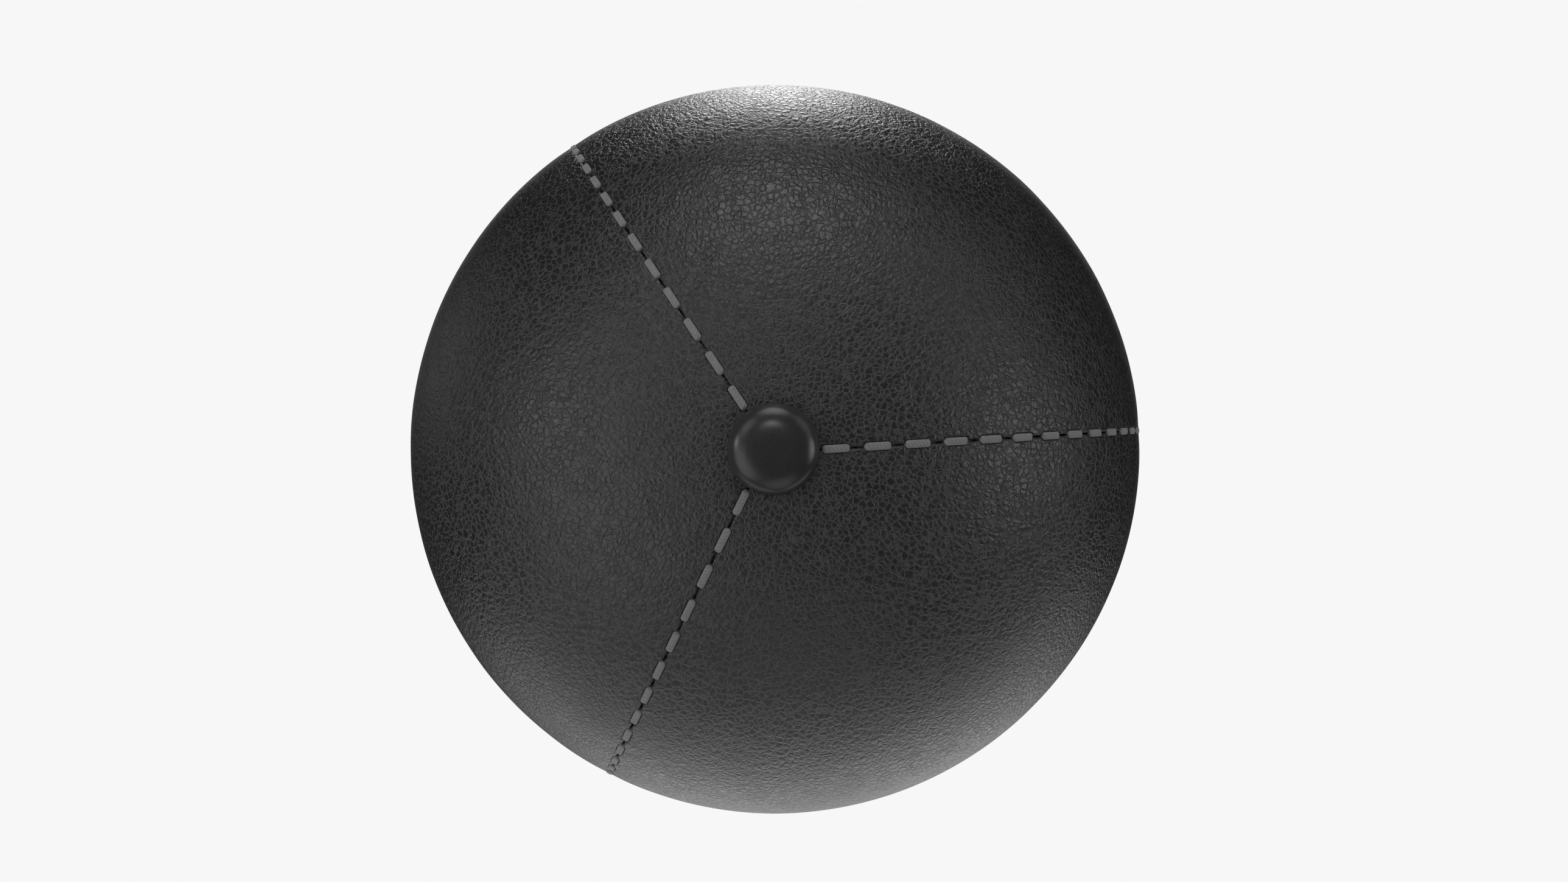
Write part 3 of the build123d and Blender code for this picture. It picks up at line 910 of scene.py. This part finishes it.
for number in range(3):
    finish_piece(cover_panel(number), leather)
    finish_piece(seam_thread(number), thread)
for name, side in (("front", -1), ("rear", 1)):
    finish_piece(cap_dome(name, side), plastic)
    finish_piece(felt_half(name, side), felt_wool)
    finish_piece(bag_half(name, side), cotton)
    finish_piece(stuffing_half(name, side), rag_fibre)
    finish_piece(sand_bag_half(name, side), sacking)
finish_piece(sand(), sand_grains())
finish_piece(neck_tie(), thread)


# ---- camera ------------------------------------------------------------------------------------------
camera = bpy.data.objects.new("camera", bpy.data.cameras.new("camera"))
camera.data.lens = CAMERA_LENS
camera.data.sensor_width = 36
camera.data.clip_start = 0.01
camera.location = (CAMERA_RIGHT, -CAMERA_DISTANCE, CAMERA_UP)
camera.rotation_euler = (pi / 2 + radians(CAMERA_TILT), 0, -radians(CAMERA_TURN))
bpy.context.scene.collection.objects.link(camera)
bpy.context.scene.camera = camera

# ---- floor ---------------------------------------------------------------------------------------------
floor_material = bpy.data.materials.new("pale_floor")
floor_material.use_nodes = True
floor_nodes = Nodes(floor_material.node_tree)
floor_nodes.tree.nodes.remove(floor_nodes.tree.nodes["Principled BSDF"])
glow = floor_nodes.add("ShaderNodeEmission", {"Color": grey(1.0), "Strength": BACKDROP})
link(floor_nodes, glow.outputs[0], floor_nodes.tree.nodes["Material Output"].inputs["Surface"])
corners = ((-1, -1), (1, -1), (1, 1), (-1, 1))
floor_points = [(x * FLOOR_HALF, y * FLOOR_HALF, -BALL) for x, y in corners]
floor = add_mesh("floor", floor_points, [(0, 1, 2, 3)], smooth=False)
floor.data.materials.append(floor_material)
floor.visible_diffuse = False
floor.visible_glossy = False
floor.visible_shadow = False

# ---- studio ----------------------------------------------------------------------------------------------
world = bpy.data.worlds.new("studio")
bpy.context.scene.world = world
world.use_nodes = True
sky = Nodes(world.node_tree)
direction = sky.add("ShaderNodeTexCoord").outputs["Generated"]


def heading(tilt, azimuth):
    """The direction at an angle from the front (-Y) and an azimuth about it, in degrees."""
    a, b = radians(tilt), radians(azimuth)
    return (sin(a) * cos(b), -cos(a), sin(a) * sin(b))


def soft_light(tilt, azimuth, inner, outer, strength):
    """A round soft light: full within the inner angle and gone past the outer one."""
    facing = sky.vector("DOT_PRODUCT", direction, heading(tilt, azimuth))
    return sky.ramp(facing, cos(radians(outer)), cos(radians(inner)), 0.0, strength)


# Each light takes the strength of its kind. Angles are in degrees.
SPOTLIGHT = 10.0
STRIP = 6.0
SOFTBOX = 3.5
PANEL = 1.7
REFLECTOR = 0.9
BOUNCE = 0.5
STUDIO = {
    "overhead": soft_light(75, 90, 5, 25, SOFTBOX),
    "front_high": soft_light(25, 95, 3, 7, SPOTLIGHT),
    "rim": soft_light(140, 90, 5, 10, SPOTLIGHT),
    "right": soft_light(75, 0, 5, 20, SOFTBOX),
    "right_high": soft_light(75, 40, 5, 25, REFLECTOR),
    "left": soft_light(70, 170, 5, 10, STRIP),
    "left_front": soft_light(55, 205, 10, 35, PANEL),
    "left_high": soft_light(55, 140, 5, 20, PANEL),
    "behind_left": soft_light(125, 165, 5, 15, BOUNCE),
    "below_front": soft_light(60, 280, 10, 30, REFLECTOR),
    "floor_left": soft_light(115, 245, 25, 35, REFLECTOR),
    "floor_right": soft_light(115, 305, 25, 30, REFLECTOR),
    "behind_low": soft_light(140, 280, 10, 30, REFLECTOR),
    "behind": soft_light(175, 90, 10, 25, PANEL),
}
total, *others = STUDIO.values()
for light in others:
    total = sky.math("ADD", total, light)
seen = sky.add("ShaderNodeLightPath").outputs["Is Camera Ray"]
strength = sky.math("MULTIPLY_ADD", sky.math("SUBTRACT", BACKDROP, total), seen, total)
background = world.node_tree.nodes["Background"]
background.inputs["Color"].default_value = grey(1.0)
link(sky, strength, background.inputs["Strength"])

bpy.context.scene.view_settings.view_transform = "Standard"
